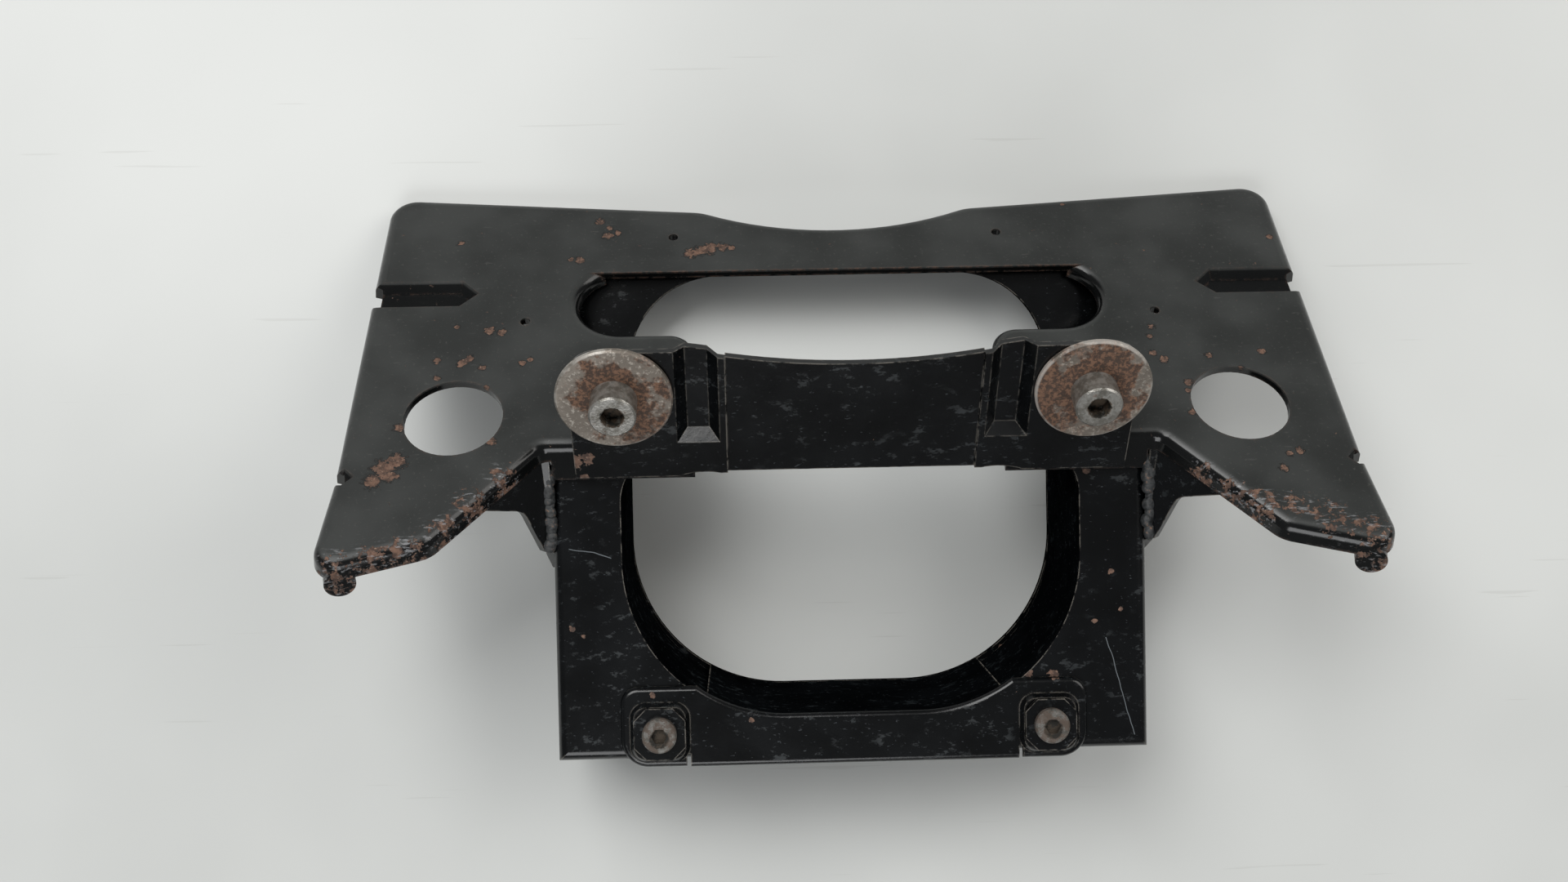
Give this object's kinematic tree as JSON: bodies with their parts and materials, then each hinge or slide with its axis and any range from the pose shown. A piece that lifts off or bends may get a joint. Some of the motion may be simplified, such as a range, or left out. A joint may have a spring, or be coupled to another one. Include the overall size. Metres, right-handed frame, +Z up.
{
  "type": "grab bar bracket",
  "caption": "Welded sheet-steel bracket with a sloping wing plate on an open box, a bolted bridge strap and a lower cross member.",
  "frame": {"origin": "on the table, under the middle of the bracket's bounding box", "axes": "+Z up from the table, +Y from the box towards the wing plate's rim, +X to the right as seen in the picture"},
  "size_m": [0.295, 0.1804, 0.0949],
  "materials": {
    "wing_paint": "satin, chipped and rusted",
    "box_paint": "gloss, scratched",
    "washer_zinc": "dull zinc plate with rust",
    "screw_steel": "dull zinc plate with dirt"
  },
  "bodies": {
    "root": {"wing_plate": "wing_paint", "box_frame": "box_paint", "back_plate": "box_paint", "cross_member": "box_paint", "bridge_strap": "box_paint", "gusset_right": "box_paint", "gusset_left": "box_paint", "washer_right": "washer_zinc", "washer_left": "washer_zinc", "strap_screw_right": "screw_steel", "strap_screw_left": "screw_steel", "strap_nut_right": "screw_steel", "strap_nut_left": "screw_steel", "low_plate_right": "box_paint", "low_plate_left": "box_paint", "low_screw_right": "screw_steel", "low_screw_left": "screw_steel", "low_nut_right": "screw_steel", "low_nut_left": "screw_steel"}
  },
  "joints": []
}
